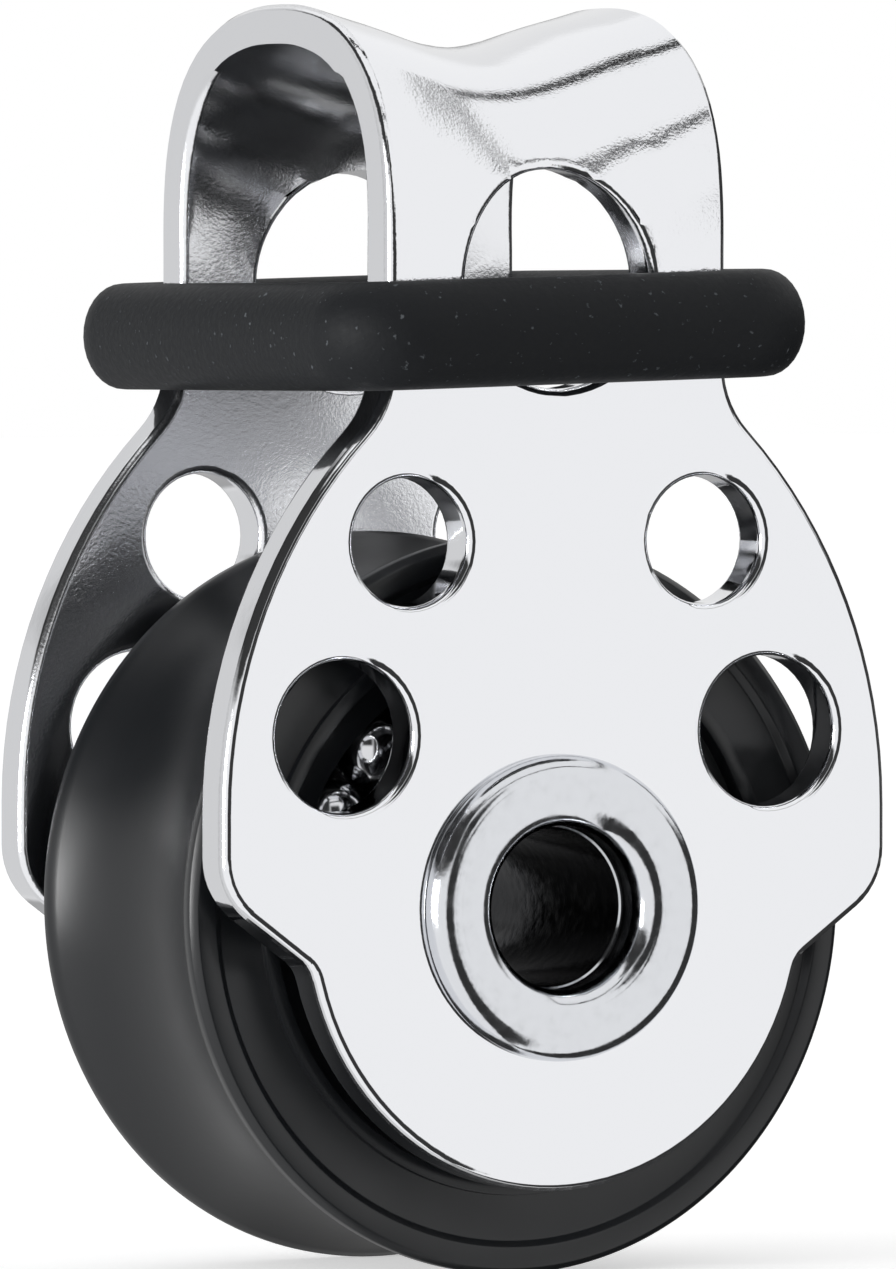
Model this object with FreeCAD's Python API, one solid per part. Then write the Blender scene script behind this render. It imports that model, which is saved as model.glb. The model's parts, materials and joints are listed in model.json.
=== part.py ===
import FreeCAD, Part
import math
import os

# A small ball-bearing sailing block: one bent strap makes both cheeks and the saddle-shaped head,
# a hollow rivet clamps it on the bearing hub, and a grooved sheave turns on two rows of steel balls.
# The origin is the centre of the axle. +Y runs along the axle, away from the front cheek, and +Z is up.
# All sizes are millimetres.

# The strap
STRAP_THICKNESS = 1.5
SIDE_GAP = 0.9                # between the sheave and each cheek
EDGE_ROUND = 0.3              # tumbled edge all round the strap's outside
HEAD_WIDTH = 11.5             # the strap's width above the neck
NECK_HEIGHT = 14.86           # above the axle, where the neck would meet the ears' long sides
NECK_ROUND = 2.8
EAR_OVERHANG = 0.25           # of each ear beyond the sheave's rim, at its widest place
EAR_HEIGHT = 2.9              # of that widest place, above the axle
EAR_CORNER_HEIGHT = 0.5       # where the ear's side and its underside would meet
EAR_CORNER_ROUND = 2.2
EAR_UNDER_ANGLE = 36.0        # of the ear's underside, below level
FOOT_SETBACK = 2.6            # of the round foot about the axle, inside the sheave's rim
FOOT_ROUND = 1.0              # where the ear's underside runs into the foot

# The saddle that joins the cheeks
CROWN_HEIGHT_MIDDLE = 25.55   # above the axle
CROWN_HEIGHT_EDGE = 26.85
SPRING_HEIGHT_MIDDLE = 17.5   # where the flat cheek starts to bend over
CROWN_THICKNESS = 1.25        # the strap is stretched thinner over the crown
SADDLE_SECTIONS = 5           # across the head, for the loft
SADDLE_OVERRUN = 1.2          # the loft's width over the head's, before it is cut to the outline

# Holes through both cheeks
HEAD_HOLE_RADIUS = 3.1
HEAD_HOLE_HEIGHT = 18.45
UPPER_HOLE_RADIUS = 1.9
UPPER_HOLE_WALL = 2.22        # of metal, from the hole out to the ear's side
UPPER_HOLE_HEIGHT = 10.85
LOWER_HOLE_RADIUS = 2.25
LOWER_HOLE_WALL = 1.68
LOWER_HOLE_HEIGHT = 5.15

# The hollow rivet
RIVET_BORE_RADIUS = 2.38
RIVET_WALL = 0.67
RIVET_HEAD_RADIUS = 4.55
RIVET_HEAD_HEIGHT = 0.75
RIVET_MOUTH_ROUND = 0.7       # the trumpet from the head's face into the bore
RIVET_RIM_ROUND = 0.6
RIVET_CLEARANCE = 0.02        # round the shank, in the cheeks and in the hub

# The sheave
SHEAVE_WIDTH = 9.8
SHEAVE_WALL = 2.359           # between the ball races and the bottom of the rope groove
RIM_LAND = 0.35               # flat on the rim, beside the rope groove
RIM_CHAMFER = 0.2
GROOVE_DEPTH = 1.2
RIM_BAND = 0.6                # raised ring round each face
FACE_STEP = 0.2               # how far the face lies below that ring
BORE_RING_WIDTH = 0.45        # raised ring round each end of the bore
COUNTERBORE_STEP = 0.75       # from the race out to that ring's inner edge
COUNTERBORE_DEPTH = 0.65

# The bearing
HUB_WALL = 1.93
BALL_DIAMETER = 2.381
BALL_GAP = 0.04               # smallest gap between two balls of a row
RACE_CLEARANCE = 0.03         # between a ball and each race
RACE_DEPTH = 0.25             # of each groove in the sheave's bore
RACE_HALF_WIDTH = 0.8         # of that groove at the bore
RACE_LIP = 0.1                # of the bore left between the groove and the counterbore
RACE_FLOOR_HALF_WIDTH = 0.3
HUB_END_CHAMFER = 0.3
FIRST_BALL_ANGLE = 132.4      # from +X towards +Z, seen from the front
BALL_SIDES = 8                # flat facets round a ball
BALL_BANDS = 4                # and from pole to pole

# The rubber ring round the head
RING_HEIGHT = 17.4            # of its middle, above the axle
RING_SECTION_DEPTH = 2.4
RING_SECTION_HEIGHT = 3.2
RING_SECTION_SIDES = 8
RING_CLEARANCE = 0.05         # between the ring and the strap

CUT_MARGIN = 1.0              # how far blanks and cutting tools reach past what they cut
SAME = 1e-4                   # lengths and directions nearer than this are alike

half_sheave = SHEAVE_WIDTH / 2
half_gap = half_sheave + SIDE_GAP
half_width = half_gap + STRAP_THICKNESS
cut_reach = half_width + CUT_MARGIN
shank_radius = RIVET_BORE_RADIUS + RIVET_WALL
saddle_foot = SPRING_HEIGHT_MIDDLE - STRAP_THICKNESS / 2
row_offset = half_sheave - COUNTERBORE_DEPTH - RACE_LIP - RACE_HALF_WIDTH
hub_bore_radius = shank_radius + RIVET_CLEARANCE
hub_radius = hub_bore_radius + HUB_WALL
ball_circle_radius = hub_radius + RACE_CLEARANCE + BALL_DIAMETER / 2
sheave_race_radius = ball_circle_radius + BALL_DIAMETER / 2 + RACE_CLEARANCE
sheave_bore_radius = sheave_race_radius - RACE_DEPTH
sheave_radius = sheave_race_radius + SHEAVE_WALL + GROOVE_DEPTH
foot_radius = sheave_radius - FOOT_SETBACK
neck_x = HEAD_WIDTH / 2
ear_x = sheave_radius + EAR_OVERHANG
ear_run = ear_x - neck_x
ear_rise = NECK_HEIGHT - EAR_HEIGHT
# each ear's long side is one arc, upright at its widest place, that ends at the neck
ear_side_radius = (ear_run ** 2 + ear_rise ** 2) / (2 * ear_run)
axle = FreeCAD.Vector(0, 1, 0)
origin = FreeCAD.Vector(0, 0, 0)


def front(x, z):
    """A point of an outline seen from the front."""
    return FreeCAD.Vector(x, 0, z)


def section(radius, along):
    """A point of a turned part's section: its distance from the axle and its place along it."""
    return FreeCAD.Vector(radius, along, 0)


def edges_through(start, *steps):
    """Joined edges from start. A step of one point is a line, and of two an arc's middle and end."""
    edges = []
    for step in steps:
        if len(step) == 1:
            edges.append(Part.LineSegment(start, step[0]).toShape())
        else:
            edges.append(Part.Arc(start, step[0], step[1]).toShape())
        start = step[-1]
    return edges


def closed_face(edges):
    return Part.Face(Part.Wire(Part.__sortEdges__(edges)))


def with_mirror(edges, normal):
    """Half an outline and its mirror image."""
    return edges + [edge.mirror(origin, normal) for edge in edges]


def turned(side, rim_middle=None):
    """A solid turned about the axle. side is the +Y half of its section, from the bore out to the rim.

    The two halves are joined by lines, or at the rim by an arc through rim_middle.
    """
    bore_end, rim_end = side[0], side[-1]
    lines = edges_through(bore_end, *[[point] for point in side[1:]])
    across_bore = edges_through(mirrored(bore_end), [bore_end])
    across_rim = edges_through(mirrored(rim_end), [rim_middle, rim_end] if rim_middle else [rim_end])
    return closed_face(with_mirror(lines, axle) + across_bore + across_rim).revolve(origin, axle, 360)


def mirrored(point):
    return FreeCAD.Vector(point.x, -point.y, point.z)


def race(shoulder_radius, bottom_radius):
    """The points of the +Y row's ball groove, from its inner end to its outer end, with sloping walls."""
    return [section(shoulder_radius, row_offset - RACE_HALF_WIDTH),
            section(bottom_radius, row_offset - RACE_FLOOR_HALF_WIDTH),
            section(bottom_radius, row_offset + RACE_FLOOR_HALF_WIDTH),
            section(shoulder_radius, row_offset + RACE_HALF_WIDTH)]


def cheek_outline():
    """The strap's outline from the front, closed above the crown."""
    top = CROWN_HEIGHT_EDGE + CUT_MARGIN
    neck = front(neck_x, NECK_HEIGHT)
    middle_height = EAR_HEIGHT + ear_rise / 2
    side_middle = front(half_width_at(middle_height), middle_height)
    under = math.radians(EAR_UNDER_ANGLE)
    # the underside is a line from the ear's corner, and meets the foot's circle nearest to the ear
    from_corner = ear_x * math.cos(under) + EAR_CORNER_HEIGHT * math.sin(under)
    from_axle = abs(ear_x * math.sin(under) - EAR_CORNER_HEIGHT * math.cos(under))
    run = from_corner - math.sqrt(foot_radius ** 2 - from_axle ** 2)
    ear_corner = front(ear_x, EAR_CORNER_HEIGHT)
    foot_start = front(ear_x - run * math.cos(under), EAR_CORNER_HEIGHT - run * math.sin(under))
    foot_angle = (math.atan2(foot_start.z, foot_start.x) - math.pi / 2) / 2
    foot_middle = front(foot_radius * math.cos(foot_angle), foot_radius * math.sin(foot_angle))
    half = edges_through(front(0, top), [front(neck_x, top)], [neck],
                         [side_middle, front(ear_x, EAR_HEIGHT)], [ear_corner],
                         [foot_start], [foot_middle, front(0, -foot_radius)])
    blank = closed_face(with_mirror(half, FreeCAD.Vector(1, 0, 0)))
    blank.translate(axle * -cut_reach)
    blank = blank.extrude(axle * 2 * cut_reach)
    for corner, radius in ((neck, NECK_ROUND), (ear_corner, EAR_CORNER_ROUND), (foot_start, FOOT_ROUND)):
        blank = blank.makeFillet(radius, edges_along_axle(blank, corner))
    return blank


def half_width_at(height):
    """Half the cheek's width at a height on the ears' long sides."""
    return ear_x - ear_side_radius + math.sqrt(ear_side_radius ** 2 - (height - EAR_HEIGHT) ** 2)


def edges_along_axle(solid, corner):
    """The edges parallel to the axle at a corner of the outline and at its mirror image."""
    found = []
    for edge in solid.Edges:
        first, last = edge.Vertexes[0].Point, edge.Vertexes[-1].Point
        at_corner = math.hypot(abs(first.x) - abs(corner.x), first.z - corner.z) < SAME
        if at_corner and abs(last.y - first.y) > SAME:
            found.append(edge)
    return found


def arch(x, half_span, spring, crown):
    """Half an ellipse over the gap, from the front cheek to the back one."""
    corner_weight = math.sqrt(0.5)
    poles = [FreeCAD.Vector(x, -half_span, spring), FreeCAD.Vector(x, -half_span, crown),
             FreeCAD.Vector(x, 0, crown), FreeCAD.Vector(x, half_span, crown),
             FreeCAD.Vector(x, half_span, spring)]
    curve = Part.BSplineCurve()
    curve.buildFromPolesMultsKnots(poles, [3, 2, 3], [0, 1, 2], False, 2,
                                   [1, corner_weight, 1, corner_weight, 1])
    return curve.toShape()


def saddle_section(x):
    """The head cut square across at x: two short legs and the arch that joins them."""
    rise = (2 * x / HEAD_WIDTH) ** 2
    crown = CROWN_HEIGHT_MIDDLE + (CROWN_HEIGHT_EDGE - CROWN_HEIGHT_MIDDLE) * rise
    spring_at_edge = CROWN_HEIGHT_EDGE - half_width
    spring = SPRING_HEIGHT_MIDDLE + (spring_at_edge - SPRING_HEIGHT_MIDDLE) * rise
    outer = arch(x, half_width, spring, crown)
    inner = arch(x, half_gap, spring, crown - CROWN_THICKNESS)
    legs = []
    for side in (-1, 1):
        legs += edges_through(FreeCAD.Vector(x, side * half_width, spring),
                              [FreeCAD.Vector(x, side * half_width, saddle_foot)],
                              [FreeCAD.Vector(x, side * half_gap, saddle_foot)],
                              [FreeCAD.Vector(x, side * half_gap, spring)])
    return Part.Wire(Part.__sortEdges__([outer, inner] + legs))


def make_side_strap():
    """One strip of steel, bent over into a saddle, with its outline, its holes and its rounded edges."""
    reach = HEAD_WIDTH * SADDLE_OVERRUN
    places = [reach * (number / (SADDLE_SECTIONS - 1) - 0.5) for number in range(SADDLE_SECTIONS)]
    strap = Part.makeLoft([saddle_section(place) for place in places], True)
    plate_length = 2 * (ear_x + CUT_MARGIN)
    plate_height = saddle_foot + foot_radius + CUT_MARGIN
    for side in (-half_width, half_gap):
        corner = FreeCAD.Vector(-plate_length / 2, side, saddle_foot - plate_height)
        strap = strap.fuse(Part.makeBox(plate_length, STRAP_THICKNESS, plate_height, corner))
    strap = strap.common(cheek_outline()).Solids[0]
    strap = strap.makeChamfer(EDGE_ROUND, outer_rim_edges(strap))
    holes = [(0, HEAD_HOLE_HEIGHT, HEAD_HOLE_RADIUS), (0, 0, hub_bore_radius)]
    for height, radius, wall in ((UPPER_HOLE_HEIGHT, UPPER_HOLE_RADIUS, UPPER_HOLE_WALL),
                                 (LOWER_HOLE_HEIGHT, LOWER_HOLE_RADIUS, LOWER_HOLE_WALL)):
        place = half_width_at(height) - wall - radius
        holes += [(-place, height, radius), (place, height, radius)]
    for x, z, radius in holes:
        start = FreeCAD.Vector(x, -cut_reach, z)
        strap = strap.cut(Part.makeCylinder(radius, 2 * cut_reach, start, axle))
    return strap


def outer_rim_edges(strap):
    """The edges where the strap's outline meets its outside, over the crown and down both cheeks."""
    found = []
    for edge in strap.Edges:
        faces = strap.ancestorsOfType(edge, Part.Face)
        broad = [face for face in faces if not on_outline(face)]
        if len(faces) == 2 and len(broad) == 1:
            middle = edge.valueAt((edge.FirstParameter + edge.LastParameter) / 2)
            normal = broad[0].normalAt(*broad[0].Surface.parameter(middle))
            inside = FreeCAD.Vector(middle.x, 0, min(middle.z, saddle_foot))
            if normal.dot(middle - inside) > 0:
                found.append(edge)
    return found


def on_outline(face):
    """Whether a face of the strap runs straight along the axle, as the outline's sides do."""
    surface = face.Surface
    flat = isinstance(surface, Part.Plane) and abs(surface.Axis.y) < SAME
    curved = isinstance(surface, Part.Cylinder) and abs(surface.Axis.y) > 1 - SAME
    return flat or curved


def rounded(corner_radius, along, reach_in, reach_along):
    """Three points round a corner of a turned part's section, the middle one half way round."""
    lean = 1 - math.sqrt(0.5)
    return [section(corner_radius + reach_in, along),
            section(corner_radius + reach_in * lean, along - reach_along * lean),
            section(corner_radius, along - reach_along)]


def make_hollow_rivet():
    """A tube through both cheeks, its ends rolled over into rounded heads."""
    head_top = half_width + RIVET_HEAD_HEIGHT
    mouth = rounded(RIVET_BORE_RADIUS, head_top, RIVET_MOUTH_ROUND, RIVET_MOUTH_ROUND)
    rim = rounded(RIVET_HEAD_RADIUS, head_top, -RIVET_RIM_ROUND, RIVET_RIM_ROUND)
    under_head = [section(RIVET_HEAD_RADIUS, half_width), section(shank_radius, half_width)]
    return turned(mouth[::-1] + rim + under_head)


def make_bearing_hub():
    """The sleeve that the rivet clamps between the cheeks. The balls run on its outside."""
    return turned([section(hub_bore_radius, half_gap), section(hub_radius - HUB_END_CHAMFER, half_gap),
                   section(hub_radius, half_gap - HUB_END_CHAMFER)])


def make_sheave():
    """The grooved wheel. Each side has a sunk face between two raised rings, a counterbore and a race."""
    rim_start = half_sheave - RIM_CHAMFER - RIM_LAND
    band_radius = sheave_radius - RIM_CHAMFER - RIM_BAND
    face = half_sheave - FACE_STEP
    counterbore_floor = half_sheave - COUNTERBORE_DEPTH
    counterbore_radius = sheave_race_radius + COUNTERBORE_STEP
    ring_radius = counterbore_radius + BORE_RING_WIDTH
    side = race(sheave_bore_radius, sheave_race_radius)
    side += [section(sheave_bore_radius, counterbore_floor), section(counterbore_radius, counterbore_floor),
             section(counterbore_radius, half_sheave), section(ring_radius, half_sheave),
             section(ring_radius, face),
             section(band_radius - FACE_STEP, face), section(band_radius, half_sheave),
             section(sheave_radius - RIM_CHAMFER, half_sheave),
             section(sheave_radius, half_sheave - RIM_CHAMFER), section(sheave_radius, rim_start)]
    return turned(side, section(sheave_radius - GROOVE_DEPTH, 0))


def make_ball():
    """A bearing ball at the origin, drawn with flat facets because the two rows hold dozens of them."""
    levels = []
    for band in range(BALL_BANDS + 1):
        latitude = math.pi * (band / BALL_BANDS - 0.5)
        round_level = []
        for side in range(BALL_SIDES):
            turn = 2 * math.pi * side / BALL_SIDES
            flat = FreeCAD.Vector(math.cos(latitude) * math.cos(turn), math.cos(latitude) * math.sin(turn),
                                  math.sin(latitude))
            round_level.append(flat * (BALL_DIAMETER / 2))
        levels.append(round_level)
    facets = []
    for band in range(BALL_BANDS):
        low, high = levels[band], levels[band + 1]
        for side in range(BALL_SIDES):
            following = (side + 1) % BALL_SIDES
            corners = [low[side], high[side], high[following], low[following]]
            if band == 0:
                corners = corners[:3]
            if band == BALL_BANDS - 1:
                corners = corners[:2] + corners[3:]
            facets.append(Part.Face(Part.makePolygon(corners + corners[:1])))
    return Part.Solid(Part.Shell(facets))


def ball_rows():
    """Each ball in its place: its node's name and its solid, row by row."""
    count = int(math.pi / math.asin((BALL_DIAMETER + BALL_GAP) / (2 * ball_circle_radius)))
    for row, along in (("front", -row_offset), ("back", row_offset)):
        for number in range(count):
            angle = math.radians(FIRST_BALL_ANGLE) + 2 * math.pi * number / count
            ball = make_ball()
            ball.translate(FreeCAD.Vector(ball_circle_radius * math.cos(angle), along,
                                          ball_circle_radius * math.sin(angle)))
            yield f"{row}_ball_{number + 1:02d}", ball


def make_rubber_ring():
    """A flattened rubber cord stretched round both cheeks at the neck."""
    depth = RING_SECTION_DEPTH / 2
    height = RING_SECTION_HEIGHT / 2
    half_x = neck_x + RING_CLEARANCE + depth
    half_y = half_width + RING_CLEARANCE + depth
    corner = depth + EDGE_ROUND + RING_CLEARANCE
    lean = corner * (1 - math.sqrt(0.5))
    start = FreeCAD.Vector(0, -half_y, RING_HEIGHT)
    quarter = edges_through(start, [FreeCAD.Vector(half_x - corner, -half_y, RING_HEIGHT)],
                            [FreeCAD.Vector(half_x - lean, lean - half_y, RING_HEIGHT),
                             FreeCAD.Vector(half_x, corner - half_y, RING_HEIGHT)],
                            [FreeCAD.Vector(half_x, 0, RING_HEIGHT)])
    path = with_mirror(with_mirror(quarter, FreeCAD.Vector(1, 0, 0)), axle)
    # the section's flats, not its corners, lie at its full depth and height
    spread = 1 / math.cos(math.pi / RING_SECTION_SIDES)
    corners = []
    for side in range(RING_SECTION_SIDES):
        turn = 2 * math.pi * (side + 0.5) / RING_SECTION_SIDES
        corner_place = FreeCAD.Vector(0, depth * math.cos(turn), height * math.sin(turn))
        corners.append(start + corner_place * spread)
    cord = Part.makePolygon(corners + corners[:1])
    return Part.Wire(Part.__sortEdges__(path)).makePipeShell([cord], True, False)


def save(shape, node):
    shape.exportStep("parts/" + node + ".step")


os.makedirs("parts", exist_ok=True)
save(make_side_strap(), "side_strap")
save(make_hollow_rivet(), "hollow_rivet")
save(make_bearing_hub(), "bearing_hub")
save(make_sheave(), "sheave")
save(make_rubber_ring(), "rubber_ring")
for node, ball in ball_rows():
    save(ball, node)
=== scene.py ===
import json
import math

import bpy
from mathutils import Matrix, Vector

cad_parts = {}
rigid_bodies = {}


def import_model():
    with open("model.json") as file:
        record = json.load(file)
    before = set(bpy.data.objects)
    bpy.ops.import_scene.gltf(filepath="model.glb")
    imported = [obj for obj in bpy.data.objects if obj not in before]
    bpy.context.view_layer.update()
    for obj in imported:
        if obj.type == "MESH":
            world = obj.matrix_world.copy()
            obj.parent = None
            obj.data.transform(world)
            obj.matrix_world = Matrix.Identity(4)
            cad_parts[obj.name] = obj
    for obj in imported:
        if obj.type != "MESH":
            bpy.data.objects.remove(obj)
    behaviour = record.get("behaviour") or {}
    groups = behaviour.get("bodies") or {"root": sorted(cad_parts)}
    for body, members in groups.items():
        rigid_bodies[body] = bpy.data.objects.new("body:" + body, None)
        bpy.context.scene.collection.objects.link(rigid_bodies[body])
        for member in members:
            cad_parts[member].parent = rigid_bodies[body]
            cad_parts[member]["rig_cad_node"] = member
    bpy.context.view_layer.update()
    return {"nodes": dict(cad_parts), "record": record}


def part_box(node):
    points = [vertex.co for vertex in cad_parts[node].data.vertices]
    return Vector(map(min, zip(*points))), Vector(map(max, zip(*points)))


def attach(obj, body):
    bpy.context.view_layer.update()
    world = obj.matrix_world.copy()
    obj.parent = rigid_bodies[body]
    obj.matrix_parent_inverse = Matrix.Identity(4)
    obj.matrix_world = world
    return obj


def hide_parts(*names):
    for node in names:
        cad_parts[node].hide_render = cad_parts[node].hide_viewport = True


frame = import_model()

bl_info = {
    "name": "Micro Block",
    "version": (1, 0, 0),
    "blender": (4, 5, 0),
    "location": "3D View > Sidebar > Micro Block",
    "description": "Finishes a small ball-bearing sailing block and sets its studio",
    "category": "Object",
}

strap_low, strap_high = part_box("side_strap")
rivet_low, rivet_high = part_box("hollow_rivet")
sheave_low, sheave_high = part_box("sheave")
ring_low, ring_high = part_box("rubber_ring")
hub_low, hub_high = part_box("bearing_hub")
ball_nodes = sorted(name for name in frame["nodes"] if "_ball_" in name)
bore_radius = next(mount["dims"]["r_mm"] for mount in frame["record"]["mounts"]
                   if mount["name"] == "axle_bore") / 1000
MICRON = 1e-6
INSIDE_MARK = "inside"
RIM_MARK = "eased_rim"

ball_low, ball_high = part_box(ball_nodes[0])
ball_place = (ball_low + ball_high) / 2
row_offset = abs(ball_place.y)
ball_circle = math.hypot(ball_place.x, ball_place.z)

# The studio as the steel mirrors it: degrees round from the left wall, by way of the back, and how bright it is
STUDIO_WALLS = [(-180, 1.0), (8, 1.0), (24, 0.72), (90, 0.72), (98, 0.85), (126, 0.85), (134, 1.0), (180, 1.0)]
# Degrees above level: where the white ceiling takes over from the walls
STUDIO_CEILING = [(-90, 0.0), (28, 0.0), (34, 1.0), (90, 1.0)]
# What is dark in it, each by degrees round and by degrees above level
STUDIO_DARK = {
    "right wall": ([(-180, 1.0), (-150, 1.0), (-144, 0.0), (128, 0.0), (136, 1.0), (180, 1.0)],
                   [(-90, 1.0), (12, 1.0), (18, 0.0), (90, 0.0)]),
    "camera table": ([(-180, 0.0), (-112, 0.0), (-109, 1.0), (-72, 1.0), (-66, 0.0), (180, 0.0)],
                     [(-90, 1.0), (6, 1.0), (12, 0.0), (90, 0.0)]),
    "camera stand": ([(-180, 0.0), (-100, 0.0), (-96, 1.0), (-72, 1.0), (-66, 0.0), (180, 0.0)],
                     [(-90, 1.0), (32, 1.0), (38, 0.0), (90, 0.0)]),
    "half-dark back table": ([(-180, 0.0), (94, 0.0), (99, 0.55), (126, 0.55), (134, 0.0), (180, 0.0)],
                             [(-90, 1.0), (5, 1.0), (10, 0.0), (90, 0.0)]),
    "gap above the left wall": ([(-180, 0.0), (-70, 0.0), (-64, 1.0), (62, 1.0), (70, 0.0), (180, 0.0)],
                                [(-90, 0.0), (14, 0.0), (20, 1.0), (54, 1.0), (58, 0.0), (90, 0.0)]),
}
# The white panel overhead has a dark frame. Its place is in heights above the block: sideways and to the back.
PANEL_HALF_WIDTH = 0.93
PANEL_HALF_DEPTH = 0.53
PANEL_MIDDLE_BACK = -0.34
PANEL_FRAME = 0.13
PANEL_SIDE_SLIMMER = 2.5

# The bend as it is pressed from the strip: its shoulders stand out and its two rolls are round on top
BEND_SPRING = 0.0175
BEND_SPRING_AT_EDGE = 0.01955
HEAD_HALF_WIDTH = 0.00575
LATTICE_POINTS = (9, 11, 9)
SMOOTH_WITHIN = math.cos(math.radians(40))


def linear(hex_colour):
    """An sRGB colour such as C8CCD2 as Blender's linear red, green and blue."""
    channels = [int(hex_colour[place:place + 2], 16) / 255 for place in (0, 2, 4)]
    return [c / 12.92 if c <= 0.04045 else ((c + 0.055) / 1.055) ** 2.4 for c in channels]


def length(name, description, default):
    """A size in metres that a user may change."""
    return bpy.props.FloatProperty(name=name, description=description, default=default, min=0.0,
                                   precision=5, unit="LENGTH", subtype="DISTANCE")


def colour(name, description, hex_colour):
    return bpy.props.FloatVectorProperty(name=name, description=description, default=linear(hex_colour),
                                         size=3, min=0.0, max=1.0, subtype="COLOR")


class StrapSettings(bpy.types.PropertyGroup):
    edge_round: length("Edge round", "Radius left on the inner edges and the holes by tumbling", 0.00027)
    shoulder: length("Shoulder", "How far the bend's shoulders stand out past a plain arch", 0.0006)
    roll: length("Roll", "How much the two rolls of the saddle are filled out", 0.0011)
    steel: colour("Steel", "Colour of the polished strap", "EBECEF")
    grain: length("Grain", "Size of the fine ripples that polishing leaves", 0.0005)
    pit: length("Pit", "Size of the pits where the steel was stretched, or not polished", 0.00009)


class RivetSettings(bpy.types.PropertyGroup):
    mouth_round: length("Mouth round", "Radius of the trumpet into the bore", 0.0007)
    rim_round: length("Rim round", "Radius of the rolled rim", 0.0006)
    wall: length("Wall", "Thickness of the tube", 0.00067)
    flare: length("Flare", "How much wider the bore is at its rolled ends", 0.00005)
    flare_depth: length("Flare depth", "How far in the wider ends reach", 0.00136)
    steel: colour("Steel", "Colour of the rolled tube", "DADCE0")
    # Painted shade: this dark colour stands in for the shade deep inside the bore, not for the steel's own colour
    painted_bore_shade: colour("Bore", "Colour of the tube's dull inside", "1B1C1F")


class SheaveSettings(bpy.types.PropertyGroup):
    groove_depth: length("Groove depth", "Depth of the rope groove", 0.0012)
    rim_land: length("Rim land", "Flat on the rim beside the groove", 0.00035)
    rim_chamfer: length("Rim chamfer", "Chamfer of the rim's outer edge", 0.0002)
    rim_band: length("Rim band", "Width of the raised ring round each face", 0.0006)
    face_step: length("Face step", "Depth of each face below its ring", 0.0002)
    counterbore_depth: length("Counterbore depth", "Depth of the recess round the balls", 0.00065)
    counterbore_step: length("Counterbore step", "From the race out to the recess's wall", 0.00075)
    bore_ring: length("Bore ring", "Width of the raised ring round the bore", 0.00045)
    race_play: length("Race play", "Clearance between a ball and its race", 0.00003)
    race_depth: length("Race depth", "Depth of each ball groove", 0.00025)
    race_half: length("Race half width", "Half width of each ball groove at the bore", 0.0008)
    race_floor: length("Race floor", "Half width of the flat in each ball groove", 0.0003)
    edge_round: length("Edge round", "Radius of the moulded edges", 0.00004)
    acetal: colour("Acetal", "Colour of the moulded wheel", "16181B")


class BallSettings(bpy.types.PropertyGroup):
    diameter: length("Diameter", "Diameter of a bearing ball", 0.002381)
    steel: colour("Steel", "Colour of the balls", "D8D9DC")


class RingSettings(bpy.types.PropertyGroup):
    section_depth: length("Section depth", "Thickness of the ring, outwards from the strap", 0.0024)
    inner_corner: length("Inner corner", "Radius of the ring's inside at the strap's corners", 0.0005)
    tilt: bpy.props.FloatProperty(name="Tilt", description="How much higher the ring sits at its right end",
                                  default=math.radians(1.76), subtype="ANGLE")
    drop: length("Drop", "How much lower its middle has slipped", 0.0003)
    rubber: colour("Rubber", "Colour of the rubber", "17191C")
    speck: length("Speck", "Size of the pits and specks in its skin", 0.00022)


class StageSettings(bpy.types.PropertyGroup):
    floor_colour: colour("Floor", "Colour of the floor", "F2F2F2")
    room_light: bpy.props.FloatProperty(name="Room light", description="Brightness of the white room",
                                        default=0.62, min=0.0)
    key_power: bpy.props.FloatProperty(name="Key power", description="Power of the large soft lamp",
                                       default=1.9, min=0.0, unit="POWER")
    lens: bpy.props.FloatProperty(name="Lens", description="Focal length of the camera in millimetres",
                                  default=396.8, min=1.0)
    camera_distance: length("Camera distance", "From the camera to the point it looks at", 0.42)
    camera_azimuth: bpy.props.FloatProperty(name="Azimuth", description="Of the camera, to the left of the front",
                                            default=math.radians(28.66), subtype="ANGLE")
    camera_elevation: bpy.props.FloatProperty(name="Elevation", description="Of the camera above level",
                                              default=math.radians(1.23), subtype="ANGLE")


def add_node(tree, kind, inputs=None, **settings):
    """Adds a node. inputs gives a socket, by name or number, its value or the output it is linked to."""
    node = tree.nodes.new(kind)
    for name, value in settings.items():
        setattr(node, name, value)
    for socket, value in (inputs or {}).items():
        if isinstance(value, bpy.types.NodeSocket):
            tree.links.new(value, node.inputs[socket])
        else:
            node.inputs[socket].default_value = value
    return node


def new_material(name, **inputs):
    """A material with its shader and Object coordinates: the material, its tree, both nodes."""
    material = bpy.data.materials.new(name)
    material.use_nodes = True
    shader = material.node_tree.nodes["Principled BSDF"]
    for socket, value in inputs.items():
        shader.inputs[socket.replace("_", " ")].default_value = value
    place = add_node(material.node_tree, "ShaderNodeTexCoord").outputs["Object"]
    return material, material.node_tree, shader, place


def graded(tree, value, stops):
    """A level that changes with a value, straight from stop to stop. Each stop is a value and its level."""
    first, last = stops[0], stops[-1]
    span = last[0] - first[0]
    place = add_node(tree, "ShaderNodeMapRange", {"Value": value, "From Min": first[0], "From Max": last[0]})
    grade = add_node(tree, "ShaderNodeValToRGB", {"Fac": place.outputs["Result"]})
    for at, level in stops[1:-1]:
        grade.color_ramp.elements.new((at - first[0]) / span).color = (level, level, level, 1)
    grade.color_ramp.elements[0].color = (first[1], first[1], first[1], 1)
    grade.color_ramp.elements[-1].color = (last[1], last[1], last[1], 1)
    return grade.outputs["Color"]


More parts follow.
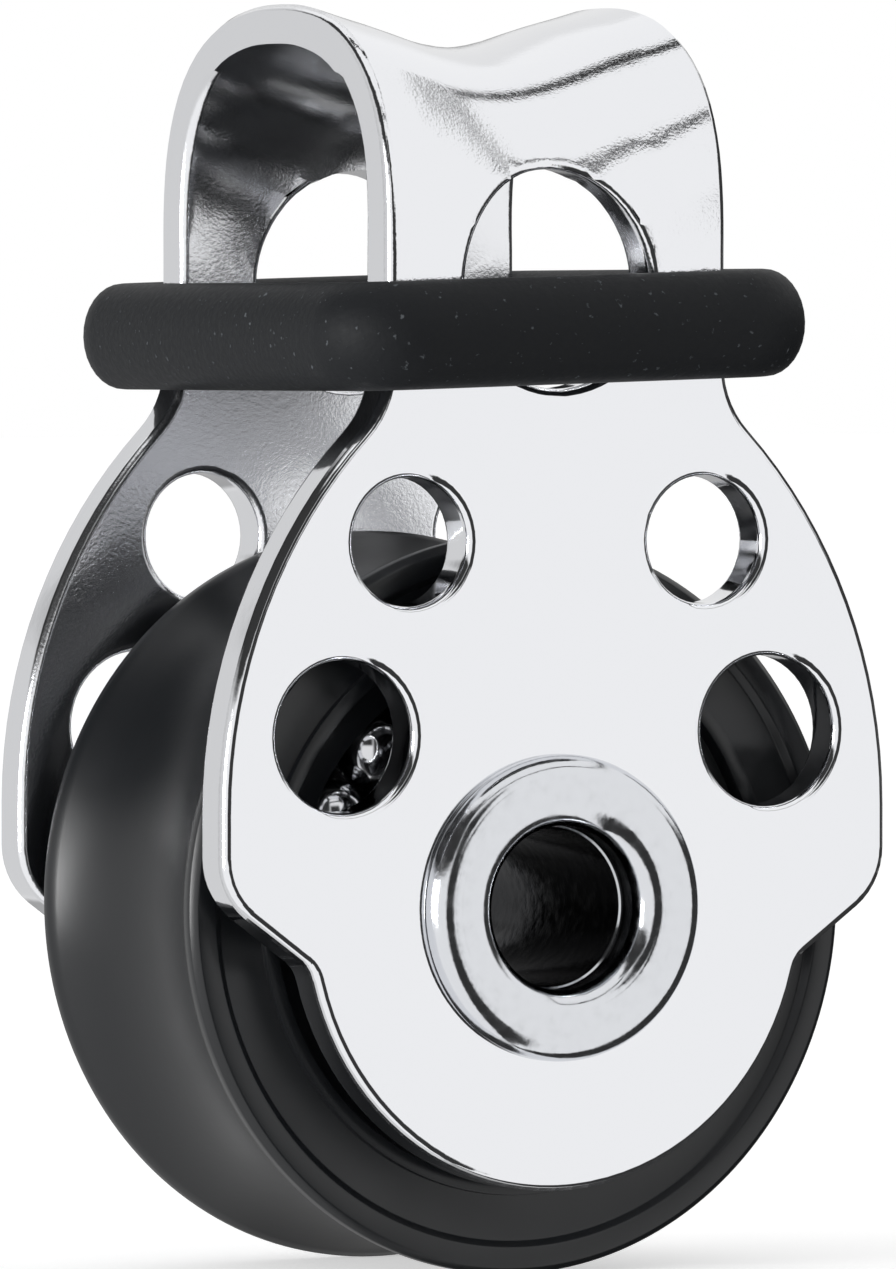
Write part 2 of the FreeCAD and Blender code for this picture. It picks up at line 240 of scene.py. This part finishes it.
def polished_strap_steel():
    """316 stainless strip, punched, bent and barrel-polished: a bright mirror, softened by fine ripples. The
    bend was stretched in the press, so it is pitted like orange peel, and black and white specks break up the
    dark lines in it. The inside was never polished: hazy, and pitted all over."""
    settings = bpy.context.scene.block_strap
    material, tree, shader, place = new_material(
        "polished_stainless_strip", Base_Color=[*settings.steel, 1], Metallic=1.0)
    ripples = add_node(tree, "ShaderNodeTexNoise", {"Vector": place, "Scale": 1 / settings.grain, "Detail": 3.0})
    pits = add_node(tree, "ShaderNodeTexNoise", {"Vector": place, "Scale": 1 / settings.pit, "Detail": 3.0})
    inside = add_node(tree, "ShaderNodeAttribute", attribute_name=INSIDE_MARK)
    haze = add_node(tree, "ShaderNodeMapRange", {"Value": inside.outputs["Fac"], "To Min": 0.02, "To Max": 0.12})
    patchy = add_node(tree, "ShaderNodeMath", {0: pits.outputs["Fac"], 1: 0.09}, operation="MULTIPLY")
    dull = add_node(tree, "ShaderNodeMath", {0: haze.outputs["Result"], 1: patchy.outputs["Value"]})
    tree.links.new(dull.outputs["Value"], shader.inputs["Roughness"])
    height = add_node(tree, "ShaderNodeSeparateXYZ", {"Vector": place})
    bent = add_node(tree, "ShaderNodeMapRange", {"Value": height.outputs["Z"], "From Min": BEND_SPRING,
                                                "From Max": BEND_SPRING_AT_EDGE, "To Min": 0.0, "To Max": 0.7},
                    interpolation_type="SMOOTHSTEP")
    unpolished = add_node(tree, "ShaderNodeMath", {0: inside.outputs["Fac"], 1: 0.8}, operation="MULTIPLY")
    stretched = add_node(tree, "ShaderNodeMath", {0: bent.outputs["Result"], 1: unpolished.outputs["Value"]},
                         operation="MAXIMUM")
    peel = add_node(tree, "ShaderNodeMath", {0: pits.outputs["Fac"], 1: stretched.outputs["Value"]},
                    operation="MULTIPLY")
    low = add_node(tree, "ShaderNodeBump", {"Height": ripples.outputs["Fac"], "Strength": 0.1, "Distance": 0.00003})
    fine = add_node(tree, "ShaderNodeBump", {"Height": peel.outputs["Value"], "Strength": 0.2, "Distance": 0.00003,
                                            "Normal": low.outputs["Normal"]})
    tree.links.new(fine.outputs["Normal"], shader.inputs["Normal"])
    return material


def rolled_rivet_steel():
    """Annealed stainless tube, its ends rolled over: bright but a little duller than the strap, with fine
    turning rings about the axle. Down the bore its colour is darkened as painted shade, and a thin painted highlight
    ring marks where the flare ends."""
    settings = bpy.context.scene.block_rivet
    material, tree, shader, place = new_material(
        "rolled_stainless_tube", Base_Color=[*settings.steel, 1], Metallic=1.0)
    parts = add_node(tree, "ShaderNodeSeparateXYZ", {"Vector": place})
    flat = add_node(tree, "ShaderNodeCombineXYZ", {"X": parts.outputs["X"], "Y": parts.outputs["Z"]})
    radius = add_node(tree, "ShaderNodeVectorMath", {0: flat.outputs["Vector"]}, operation="LENGTH")
    rings = add_node(tree, "ShaderNodeTexNoise", {"W": radius.outputs["Value"], "Scale": 9000.0, "Detail": 2.0},
                     noise_dimensions="1D")
    skin = add_node(tree, "ShaderNodeTexNoise", {"Vector": place, "Scale": 2600.0, "Detail": 3.0})
    dull = add_node(tree, "ShaderNodeMapRange", {"Value": skin.outputs["Fac"], "From Min": 0.35, "From Max": 0.7,
                                                "To Min": 0.07, "To Max": 0.2})
    tree.links.new(dull.outputs["Result"], shader.inputs["Roughness"])
    along = add_node(tree, "ShaderNodeMath", {0: parts.outputs["Y"]}, operation="ABSOLUTE")
    mouth = rivet_high.y - settings.mouth_round
    step = rivet_high.y - settings.flare_depth
    # Painted shade and highlight by depth: 0 paints the bore dark, 0.8 paints a highlight ring where the flare ends,
    # and 1 is the steel at the mouth
    bright = graded(tree, along.outputs["Value"], [(0.0, 0.0), (step - 0.00012, 0.0), (step - 0.00006, 0.8),
                                                   (step + 0.00006, 0.8), (step + 0.00012, 0.0),
                                                   (mouth - 0.00045, 0.0), (mouth, 1.0), (rivet_high.y, 1.0)])
    # Mixes from the painted bore shade to the steel's own colour
    tint = add_node(tree, "ShaderNodeMix", {"Factor": bright, 6: [*settings.painted_bore_shade, 1],
                                           7: [*settings.steel, 1]}, data_type="RGBA")
    tree.links.new(tint.outputs[2], shader.inputs["Base Color"])
    turned = add_node(tree, "ShaderNodeBump", {"Height": rings.outputs["Fac"], "Strength": 0.15, "Distance": 0.00001})
    rough = add_node(tree, "ShaderNodeBump", {"Height": skin.outputs["Fac"], "Strength": 0.2, "Distance": 0.00003,
                                             "Normal": turned.outputs["Normal"]})
    tree.links.new(rough.outputs["Normal"], shader.inputs["Normal"])
    return material


def bearing_ball_steel():
    """Hardened stainless balls, ground and lapped: small bright mirrors, a little softened."""
    settings = bpy.context.scene.block_balls
    material, tree, shader, place = new_material(
        "lapped_ball_steel", Base_Color=[*settings.steel, 1], Metallic=1.0)
    scuffs = add_node(tree, "ShaderNodeTexNoise", {"Vector": place, "Scale": 3000.0, "Detail": 3.0})
    dull = add_node(tree, "ShaderNodeMapRange", {"Value": scuffs.outputs["Fac"], "To Min": 0.08, "To Max": 0.15})
    tree.links.new(dull.outputs["Result"], shader.inputs["Roughness"])
    return material


def moulded_acetal(name, hex_or_rgb, roughness):
    """Black acetal, injection moulded: a satin black with a soft even sheen and a very fine moulded skin."""
    material, tree, shader, place = new_material(name, Base_Color=[*hex_or_rgb, 1], IOR=1.48,
                                                 Specular_IOR_Level=0.55)
    skin = add_node(tree, "ShaderNodeTexNoise", {"Vector": place, "Scale": 5000.0, "Detail": 3.0})
    patches = add_node(tree, "ShaderNodeTexNoise", {"Vector": place, "Scale": 350.0, "Detail": 2.0})
    dull = add_node(tree, "ShaderNodeMapRange", {"Value": patches.outputs["Fac"], "From Min": 0.2, "From Max": 0.8,
                                                "To Min": roughness - 0.04, "To Max": roughness + 0.05})
    tree.links.new(dull.outputs["Result"], shader.inputs["Roughness"])
    bump = add_node(tree, "ShaderNodeBump", {"Height": skin.outputs["Fac"], "Strength": 0.15, "Distance": 0.00001})
    tree.links.new(bump.outputs["Normal"], shader.inputs["Normal"])
    return material


def ring_rubber():
    """Moulded black nitrile rubber: matt charcoal, with small pale specks and pits in its skin."""
    settings = bpy.context.scene.block_ring
    material, tree, shader, place = new_material("matt_black_rubber", IOR=1.52, Specular_IOR_Level=0.2)
    specks = add_node(tree, "ShaderNodeTexNoise", {"Vector": place, "Scale": 1 / settings.speck, "Detail": 4.0})
    bright = add_node(tree, "ShaderNodeMapRange", {"Value": specks.outputs["Fac"], "From Min": 0.66, "From Max": 0.74})
    tint = add_node(tree, "ShaderNodeMix", {"Factor": bright.outputs["Result"], 6: [*settings.rubber, 1],
                                           7: [*linear("54585C"), 1]}, data_type="RGBA")
    tree.links.new(tint.outputs[2], shader.inputs["Base Color"])
    dull = add_node(tree, "ShaderNodeMapRange", {"Value": specks.outputs["Fac"], "To Min": 0.5, "To Max": 0.68})
    tree.links.new(dull.outputs["Result"], shader.inputs["Roughness"])
    bump = add_node(tree, "ShaderNodeBump", {"Height": specks.outputs["Fac"], "Strength": 0.35, "Distance": 0.00005})
    tree.links.new(bump.outputs["Normal"], shader.inputs["Normal"])
    return material


def around(stops):
    """Stops given in degrees, in radians."""
    return [(math.radians(degrees), level) for degrees, level in stops]


def deselect_all():
    if bpy.context.mode != "OBJECT":
        bpy.ops.object.mode_set(mode="OBJECT")
    bpy.ops.object.select_all(action="DESELECT")


def only(piece):
    """Makes piece the one selected and active object."""
    deselect_all()
    piece.select_set(True)
    bpy.context.view_layer.objects.active = piece


def dress(piece, material):
    """Gives a piece or node its material."""
    piece.data.materials.clear()
    piece.data.materials.append(material)
    for face in piece.data.polygons:
        face.material_index = 0


def round_edges(piece, width, segments, sharper_than):
    """Rounds the piece's edges that turn by more than so many degrees."""
    modifier = piece.modifiers.new("rounded edges", "BEVEL")
    modifier.width = width
    modifier.segments = segments
    modifier.limit_method = "ANGLE"
    modifier.angle_limit = math.radians(sharper_than)
    modifier.use_clamp_overlap = False
    only(piece)
    bpy.ops.object.modifier_apply(modifier=modifier.name)


def shade_smooth(piece):
    """Shades the piece smooth, with its large faces kept flat."""
    only(piece)
    bpy.ops.object.shade_smooth_by_angle(angle=math.radians(38))
    modifier = piece.modifiers.new("flat faces", "WEIGHTED_NORMAL")
    modifier.mode = "FACE_AREA"
    modifier.weight = 100
    modifier.keep_sharp = True
    bpy.ops.object.modifier_apply(modifier=modifier.name)


def fill_out_bend(strap, shoulder, roll):
    """Presses the bend into its real form with a lattice: fuller shoulders, and a round roll at each edge."""
    low = Vector((-0.0066, -0.0083, BEND_SPRING - 0.0003))
    high = Vector((0.0066, 0.0083, strap_high.z + 0.0006))
    deselect_all()
    bpy.ops.object.add(type="LATTICE", location=(low + high) / 2)
    cage = bpy.context.object
    cage.scale = high - low
    cage.data.points_u, cage.data.points_v, cage.data.points_w = LATTICE_POINTS
    for axis in ("u", "v", "w"):
        setattr(cage.data, "interpolation_type_" + axis, "KEY_CATMULL_ROM")
    for point in cage.data.points:
        place = (low + high) / 2 + Vector(c * s for c, s in zip(point.co, cage.scale))
        out = min(abs(place.x) / HEAD_HALF_WIDTH, 1)
        spring = BEND_SPRING + (BEND_SPRING_AT_EDGE - BEND_SPRING) * out ** 2
        above = max(place.z - spring, 0)
        turn = math.atan2(above, abs(place.y))
        stand_out = shoulder * math.sin(2 * turn) ** 2
        lift = roll * ((1 - math.cos(math.pi * out)) / 2 - out ** 2 - out / 10) * math.sin(turn) ** 2
        move = Vector((0, math.copysign(stand_out * math.cos(turn), place.y), stand_out * math.sin(turn) + lift))
        point.co_deform = point.co + Vector(m / s for m, s in zip(move, cage.scale))
    modifier = strap.modifiers.new("pressed bend", "LATTICE")
    modifier.object = cage
    only(strap)
    bpy.ops.object.modifier_apply(modifier=modifier.name)
    bpy.data.objects.remove(cage)


def outwards(face):
    """The way out of the strap at a face's place: along the axle, and up round the bend."""
    return Vector((0, face.center.y, max(face.center.z - BEND_SPRING, 0))).normalized()


def mark_rim(strap):
    """Marks the narrow faces that ease the outer rim, before any other edge is rounded."""
    marks = strap.data.attributes.new(RIM_MARK, "FLOAT", "FACE")
    for face, mark in zip(strap.data.polygons, marks.data):
        slant = face.normal.dot(outwards(face))
        sideways = math.copysign(face.normal.x, face.normal.x * face.center.x)
        mark.value = 1.0 if (0.5 < slant < 0.9 if face.center.z < BEND_SPRING else
                             slant > 0.3 and sideways > 0.3) else 0.0


def shade_rim_round(strap):
    """Shades the eased rim as one round: each corner takes the direction of the broad face or side it touches."""
    mesh = strap.data
    rim = [mark.value > 0.5 for mark in mesh.attributes[RIM_MARK].data]
    touching = [[] for _ in mesh.vertices]
    for face in mesh.polygons:
        if not rim[face.index]:
            for vertex in face.vertices:
                touching[vertex].append(face)
    directions = [None] * len(mesh.loops)
    for face in mesh.polygons:
        for corner, vertex in zip(face.loop_indices, face.vertices):
            total = Vector()
            for other in touching[vertex]:
                if rim[face.index] or other.normal.dot(face.normal) > SMOOTH_WITHIN:
                    total += other.normal * (other.area / MICRON)
            directions[corner] = total.normalized() if total.length > 0 else face.normal.copy()
    mesh.normals_split_custom_set(directions)


def mark_inside(strap):
    """Marks the faces that look inwards, at the sheave and under the bend, for the strap's material."""
    marks = strap.data.attributes.new(INSIDE_MARK, "FLOAT", "FACE")
    for face, mark in zip(strap.data.polygons, marks.data):
        mark.value = 1.0 if face.normal.dot(outwards(face)) < -0.4 else 0.0


def round_points(corner, start, end, steps):
    """Points of a quarter round at a corner of a section, from start to end, both of them included."""
    points = []
    for step in range(steps + 1):
        turn = math.pi / 2 * step / steps
        out, back = 1 - math.sin(turn), 1 - math.cos(turn)
        points.append(tuple(c + (s - c) * out + (e - c) * back for c, s, e in zip(corner, start, end)))
    return points


def lathe(name, profile, segments):
    """A turned piece: a ring of vertices is drawn out through the closed profile's points (radius, along)."""
    deselect_all()
    radius, along = profile[0]
    bpy.ops.mesh.primitive_circle_add(vertices=segments, radius=radius, location=(0, along, 0),
                                      rotation=(math.pi / 2, 0, 0))
    piece = bpy.context.object
    piece.name = name
    bpy.ops.object.transform_apply(location=True, rotation=True, scale=True)
    bpy.ops.object.mode_set(mode="EDIT")
    bpy.ops.mesh.select_all(action="SELECT")
    for next_radius, next_along in profile[1:] + profile[:1]:
        bpy.ops.mesh.extrude_edges_move(TRANSFORM_OT_translate={"value": (0, next_along - along, 0)})
        grow = next_radius / radius
        bpy.ops.transform.resize(value=(grow, 1, grow), center_override=(0, next_along, 0))
        radius, along = next_radius, next_along
    bpy.ops.mesh.select_all(action="SELECT")
    bpy.ops.mesh.remove_doubles(threshold=MICRON)
    bpy.ops.mesh.normals_make_consistent(inside=False)
    bpy.ops.object.mode_set(mode="OBJECT")
    return piece


def both_sides(side):
    """A turned profile from its +Y half, which runs from the bore out to the rim."""
    return side + [(radius, -along) for radius, along in reversed(side)]


class BLOCK_OT_strap(bpy.types.Operator):
    """Rounds and polishes the bent strap"""
    bl_idname = "block.strap"
    bl_label = "Side Strap"

    def execute(self, context):
        settings = context.scene.block_strap
        deselect_all()
        strap = frame["nodes"]["side_strap"].copy()
        strap.data = strap.data.copy()
        strap.name = "polished_strap"
        strap.parent = None
        for key in [key for key in strap.keys() if key.startswith("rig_")]:
            del strap[key]
        context.collection.objects.link(strap)
        only(strap)
        bpy.ops.mesh.customdata_custom_splitnormals_clear()
        bpy.ops.object.shade_smooth()
        bpy.ops.object.mode_set(mode="EDIT")
        bpy.ops.mesh.select_all(action="SELECT")
        bpy.ops.mesh.remove_doubles(threshold=MICRON)
        bpy.ops.mesh.dissolve_limited(angle_limit=math.radians(0.5))
        bpy.ops.object.mode_set(mode="OBJECT")
        mark_rim(strap)
        round_edges(strap, settings.edge_round, 4, 70)
        fill_out_bend(strap, settings.shoulder, settings.roll)
        shade_rim_round(strap)
        mark_inside(strap)
        dress(strap, polished_strap_steel())
        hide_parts("side_strap")
        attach(strap, "cheeks")
        return {"FINISHED"}


class BLOCK_OT_rivet(bpy.types.Operator):
    """Turns the hollow rivet with its rolled heads"""
    bl_idname = "block.rivet"
    bl_label = "Hollow Rivet"

    def execute(self, context):
        settings = context.scene.block_rivet
        top = rivet_high.y
        head = rivet_high.x
        shank = bore_radius + settings.wall
        wide = bore_radius + settings.flare
        step = top - settings.flare_depth
        mouth = round_points((wide, top), (wide, top - settings.mouth_round), (wide + settings.mouth_round, top), 12)
        rim = round_points((head, top), (head - settings.rim_round, top), (head, top - settings.rim_round), 8)
        side = [(bore_radius, step - settings.flare), (wide, step)] + mouth + rim
        side += [(head, strap_high.y), (shank, strap_high.y)]
        rivet = lathe("rolled_rivet", both_sides(side), 128)
        round_edges(rivet, 0.00004, 2, 50)
        shade_smooth(rivet)
        dress(rivet, rolled_rivet_steel())
        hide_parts("hollow_rivet")
        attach(rivet, "cheeks")
        return {"FINISHED"}


class BLOCK_OT_sheave(bpy.types.Operator):
    """Turns the grooved wheel and its bearing races"""
    bl_idname = "block.sheave"
    bl_label = "Sheave"

    def execute(self, context):
        settings = context.scene.block_sheave
        half = sheave_high.y
        rim = sheave_high.x
        face = half - settings.face_step
        band = rim - settings.rim_chamfer - settings.rim_band
        groove_half = half - settings.rim_chamfer - settings.rim_land
        race = ball_circle + context.scene.block_balls.diameter / 2 + settings.race_play
        bore = race - settings.race_depth
        recess = race + settings.counterbore_step
        ring = recess + settings.bore_ring
        floor = half - settings.counterbore_depth
        side = [(bore, row_offset - settings.race_half), (race, row_offset - settings.race_floor),
                (race, row_offset + settings.race_floor), (bore, row_offset + settings.race_half),
                (bore, floor), (recess, floor), (recess, half), (ring, half), (ring, face),
                (band - settings.face_step, face), (band, half), (rim - settings.rim_chamfer, half),
                (rim, half - settings.rim_chamfer), (rim, groove_half)]
        bend = (groove_half ** 2 + settings.groove_depth ** 2) / (2 * settings.groove_depth)
        sweep = math.asin(groove_half / bend)
        groove = []
        for step in range(1, 32):
            turn = sweep * (1 - step / 16)
            groove.append((rim - settings.groove_depth + bend * (1 - math.cos(turn)), bend * math.sin(turn)))
        profile = side + groove + [(radius, -along) for radius, along in reversed(side)]
        wheel = lathe("grooved_wheel", profile, 192)
        round_edges(wheel, settings.edge_round, 2, 30)
        shade_smooth(wheel)
        dress(wheel, moulded_acetal("moulded_black_acetal", settings.acetal, 0.32))
        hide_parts("sheave")
        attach(wheel, "wheel")
        hub = frame["nodes"]["bearing_hub"]
        dress(hub, moulded_acetal("turned_black_acetal", settings.acetal, 0.33))
        return {"FINISHED"}


class BLOCK_OT_balls(bpy.types.Operator):
    """Rounds one bearing ball and sets a copy of it in each place"""
    bl_idname = "block.balls"
    bl_label = "Bearing Balls"

    def execute(self, context):
        settings = context.scene.block_balls
        deselect_all()
        bpy.ops.mesh.primitive_cube_add(size=settings.diameter)
        first = context.object
        bpy.ops.object.mode_set(mode="EDIT")
        bpy.ops.mesh.select_all(action="SELECT")
        bpy.ops.mesh.subdivide(number_cuts=11)
        bpy.ops.transform.tosphere(value=1.0)
        bpy.ops.object.mode_set(mode="OBJECT")
        longest = max(vertex.co.length for vertex in first.data.vertices)
        scale = settings.diameter / 2 / longest
        bpy.ops.transform.resize(value=(scale, scale, scale))
        bpy.ops.object.transform_apply(location=False, rotation=False, scale=True)
        bpy.ops.object.shade_smooth()
        dress(first, bearing_ball_steel())
        for node in ball_nodes:
            low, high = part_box(node)
            ball = first.copy()
            ball.data = first.data.copy()
            ball.name = "round_" + node
            context.collection.objects.link(ball)
            only(ball)
            bpy.ops.transform.translate(value=(low + high) / 2)
            bpy.ops.object.transform_apply(location=True, rotation=False, scale=False)
            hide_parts(node)
            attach(ball, "balls")
        bpy.data.objects.remove(first)
        return {"FINISHED"}


class BLOCK_OT_ring(bpy.types.Operator):
    """Stretches the rubber ring round the neck"""
    bl_idname = "block.ring"
    bl_label = "Rubber Ring"

    def execute(self, context):
        settings = context.scene.block_ring
        thick = settings.section_depth / 2
        corner = thick + settings.inner_corner
        deselect_all()
        bpy.ops.mesh.primitive_torus_add(major_segments=96, minor_segments=32, major_radius=corner,
                                         minor_radius=thick, location=(0, 0, 0))
        ring = context.object
        ring.name = "stretched_ring"
        bpy.ops.object.mode_set(mode="EDIT")
        spread = (ring_high.x - corner - thick, ring_high.y - corner - thick)
        for axis in (0, 1):
            for side in (-1, 1):
                bpy.ops.mesh.select_all(action="DESELECT")
                bpy.ops.object.mode_set(mode="OBJECT")
                for vertex in ring.data.vertices:
                    vertex.select = vertex.co[axis] * side > MICRON
                bpy.ops.object.mode_set(mode="EDIT")
                bpy.ops.transform.translate(value=[side * spread[axis] if place == axis else 0
                                                   for place in range(3)])
        bpy.ops.mesh.select_all(action="SELECT")
        tall = (ring_high.z - ring_low.z) / settings.section_depth
        bpy.ops.transform.resize(value=(1, 1, tall), center_override=(0, 0, 0))
        bpy.ops.transform.rotate(value=settings.tilt, orient_axis="Y", center_override=(0, 0, 0))
        bpy.ops.transform.translate(value=(0, 0, (ring_low.z + ring_high.z) / 2 - settings.drop))
        bpy.ops.object.mode_set(mode="OBJECT")
        bpy.ops.object.shade_smooth()
        dress(ring, ring_rubber())
        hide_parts("rubber_ring")
        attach(ring, "cheeks")
        return {"FINISHED"}


class BLOCK_OT_stage(bpy.types.Operator):
    """Sets the floor, the white room, the lamps and the camera"""
    bl_idname = "block.stage"
    bl_label = "Studio"

    def execute(self, context):
        settings = context.scene.block_stage
        deselect_all()
        bpy.ops.mesh.primitive_plane_add(size=6, location=(0, 0, sheave_low.z))
        floor = context.object
        floor.name = "floor"
        material, tree, shader, place = new_material("white_table", Base_Color=[*settings.floor_colour, 1],
                                                     Roughness=0.9)
        path = add_node(tree, "ShaderNodeLightPath")
        seen = add_node(tree, "ShaderNodeMath", {0: path.outputs["Is Camera Ray"], 1: path.outputs["Is Glossy Ray"]},
                        operation="MAXIMUM")
        glow = add_node(tree, "ShaderNodeMath", {0: seen.outputs["Value"], 1: 0.48}, operation="MULTIPLY")
        shader.inputs["Emission Color"].default_value = (1, 1, 1, 1)
        tree.links.new(glow.outputs["Value"], shader.inputs["Emission Strength"])
        floor.data.materials.append(material)
        floor.visible_glossy = False
        self.light_room(context, settings)
        self.set_camera(context, settings)
        context.scene.view_settings.view_transform = "Standard"
        return {"FINISHED"}

    def light_room(self, context, settings):
        world = bpy.data.worlds.new("white_room")
        context.scene.world = world
        world.use_nodes = True
        tree = world.node_tree
        background = tree.nodes["Background"]
        way = add_node(tree, "ShaderNodeSeparateXYZ", {"Vector": add_node(tree, "ShaderNodeTexCoord").outputs["Generated"]})
        left = add_node(tree, "ShaderNodeMath", {0: way.outputs["X"], 1: -1.0}, operation="MULTIPLY")
        turn = add_node(tree, "ShaderNodeMath", {0: way.outputs["Y"], 1: left.outputs["Value"]}, operation="ARCTAN2")
        rise = add_node(tree, "ShaderNodeMath", {0: way.outputs["Z"]}, operation="ARCSINE")
        walls = graded(tree, turn.outputs["Value"], around(STUDIO_WALLS))
        ceiling = graded(tree, rise.outputs["Value"], around(STUDIO_CEILING))
        room = add_node(tree, "ShaderNodeMath", {0: walls, 1: ceiling}, operation="MAXIMUM")
        dark = self.panel_frame(tree, way)
        for sideways, upwards in STUDIO_DARK.values():
            patch = add_node(tree, "ShaderNodeMath", {0: graded(tree, turn.outputs["Value"], around(sideways)),
                                                     1: graded(tree, rise.outputs["Value"], around(upwards))},
                             operation="MULTIPLY")
            dark = add_node(tree, "ShaderNodeMath", {0: dark, 1: patch.outputs["Value"]},
                            operation="MAXIMUM").outputs["Value"]
        studio = add_node(tree, "ShaderNodeMapRange", {"Value": dark,
                                                      "To Min": room.outputs["Value"], "To Max": 0.04})
        path = add_node(tree, "ShaderNodeLightPath")
        mirrored = add_node(tree, "ShaderNodeMapRange", {"Value": path.outputs["Is Glossy Ray"],
                                                        "To Min": settings.room_light,
                                                        "To Max": studio.outputs["Result"]})
        seen = add_node(tree, "ShaderNodeMath", {0: path.outputs["Is Camera Ray"],
                                                1: path.outputs["Is Transmission Ray"]}, operation="MAXIMUM")
        strength = add_node(tree, "ShaderNodeMapRange", {"Value": seen.outputs["Value"],
                                                        "To Min": mirrored.outputs["Result"], "To Max": 1.0})
        background.inputs["Color"].default_value = (1, 1, 1, 1)
        tree.links.new(strength.outputs["Result"], background.inputs["Strength"])
        deselect_all()
        bpy.ops.object.light_add(type="AREA", location=(-0.49, -0.05, 0.035))
        key = context.object
        key.name = "soft_key"
        key.data.shape = "RECTANGLE"
        key.data.size = 0.24
        key.data.size_y = 0.17
        key.data.energy = settings.key_power
        key.rotation_euler = (Vector((0, 0, 0.008)) - key.location).to_track_quat("-Z", "Y").to_euler()

    def panel_frame(self, tree, way):
        """Where the dark frame of the panel overhead is seen: 1 on it and 0 off it."""
        past = []
        for axis, middle, half, slimmer in (("X", 0.0, PANEL_HALF_WIDTH, PANEL_SIDE_SLIMMER),
                                            ("Y", PANEL_MIDDLE_BACK, PANEL_HALF_DEPTH, 1.0)):
            across = add_node(tree, "ShaderNodeMath", {0: way.outputs[axis], 1: way.outputs["Z"]}, operation="DIVIDE")
            off = add_node(tree, "ShaderNodeMath", {0: across.outputs["Value"], 1: middle}, operation="SUBTRACT")
            away = add_node(tree, "ShaderNodeMath", {0: off.outputs["Value"]}, operation="ABSOLUTE")
            beyond = add_node(tree, "ShaderNodeMath", {0: away.outputs["Value"], 1: half}, operation="SUBTRACT")
            slim = add_node(tree, "ShaderNodeMath", {0: beyond.outputs["Value"], 1: slimmer}, operation="MULTIPLY")
            past.append(slim.outputs["Value"])
        outside = add_node(tree, "ShaderNodeMath", {0: past[0], 1: past[1]}, operation="MAXIMUM")
        frame_middle = PANEL_FRAME / 2
        on_frame = add_node(tree, "ShaderNodeMath", {0: outside.outputs["Value"], 1: frame_middle, 2: frame_middle},
                            operation="COMPARE")
        overhead = add_node(tree, "ShaderNodeMath", {0: way.outputs["Z"], 1: 0.1}, operation="GREATER_THAN")
        return add_node(tree, "ShaderNodeMath", {0: on_frame.outputs["Value"], 1: overhead.outputs["Value"]},
                        operation="MULTIPLY").outputs["Value"]

    def set_camera(self, context, settings):
        target = Vector((0.000209, -0.000042, 0.007943))
        level = math.cos(settings.camera_elevation)
        back = Vector((-math.sin(settings.camera_azimuth) * level, -math.cos(settings.camera_azimuth) * level,
                       math.sin(settings.camera_elevation)))
        bpy.ops.object.camera_add(location=target + back * settings.camera_distance)
        camera = context.object
        camera.rotation_euler = (-back).to_track_quat("-Z", "Y").to_euler()
        camera.data.lens = settings.lens
        context.scene.camera = camera


class BLOCK_PT_sidebar(bpy.types.Panel):
    """Lists the block's pieces and their settings"""
    bl_idname = "BLOCK_PT_sidebar"
    bl_label = "Micro Block"
    bl_space_type = "VIEW_3D"
    bl_region_type = "UI"
    bl_category = "Micro Block"

    def draw(self, context):
        for group, operator in PANEL_ROWS:
            box = self.layout.box()
            settings = getattr(context.scene, group)
            for name in settings.bl_rna.properties.keys():
                if name not in ("rna_type", "name"):
                    box.prop(settings, name)
            box.operator(operator)


GROUPS = {"block_strap": StrapSettings, "block_rivet": RivetSettings, "block_sheave": SheaveSettings,
          "block_balls": BallSettings, "block_ring": RingSettings, "block_stage": StageSettings}
PANEL_ROWS = [("block_strap", "block.strap"), ("block_rivet", "block.rivet"), ("block_sheave", "block.sheave"),
              ("block_balls", "block.balls"), ("block_ring", "block.ring"), ("block_stage", "block.stage")]
CLASSES = [*GROUPS.values(), BLOCK_OT_strap, BLOCK_OT_rivet, BLOCK_OT_sheave, BLOCK_OT_balls, BLOCK_OT_ring,
           BLOCK_OT_stage, BLOCK_PT_sidebar]


def register():
    for cls in CLASSES:
        bpy.utils.register_class(cls)
    for name, group in GROUPS.items():
        setattr(bpy.types.Scene, name, bpy.props.PointerProperty(type=group))


def unregister():
    for name in GROUPS:
        delattr(bpy.types.Scene, name)
    for cls in reversed(CLASSES):
        bpy.utils.unregister_class(cls)


def main():
    register()
    bpy.ops.block.strap()
    bpy.ops.block.rivet()
    bpy.ops.block.sheave()
    bpy.ops.block.balls()
    bpy.ops.block.ring()
    bpy.ops.block.stage()


if __name__ == "__main__":
    main()
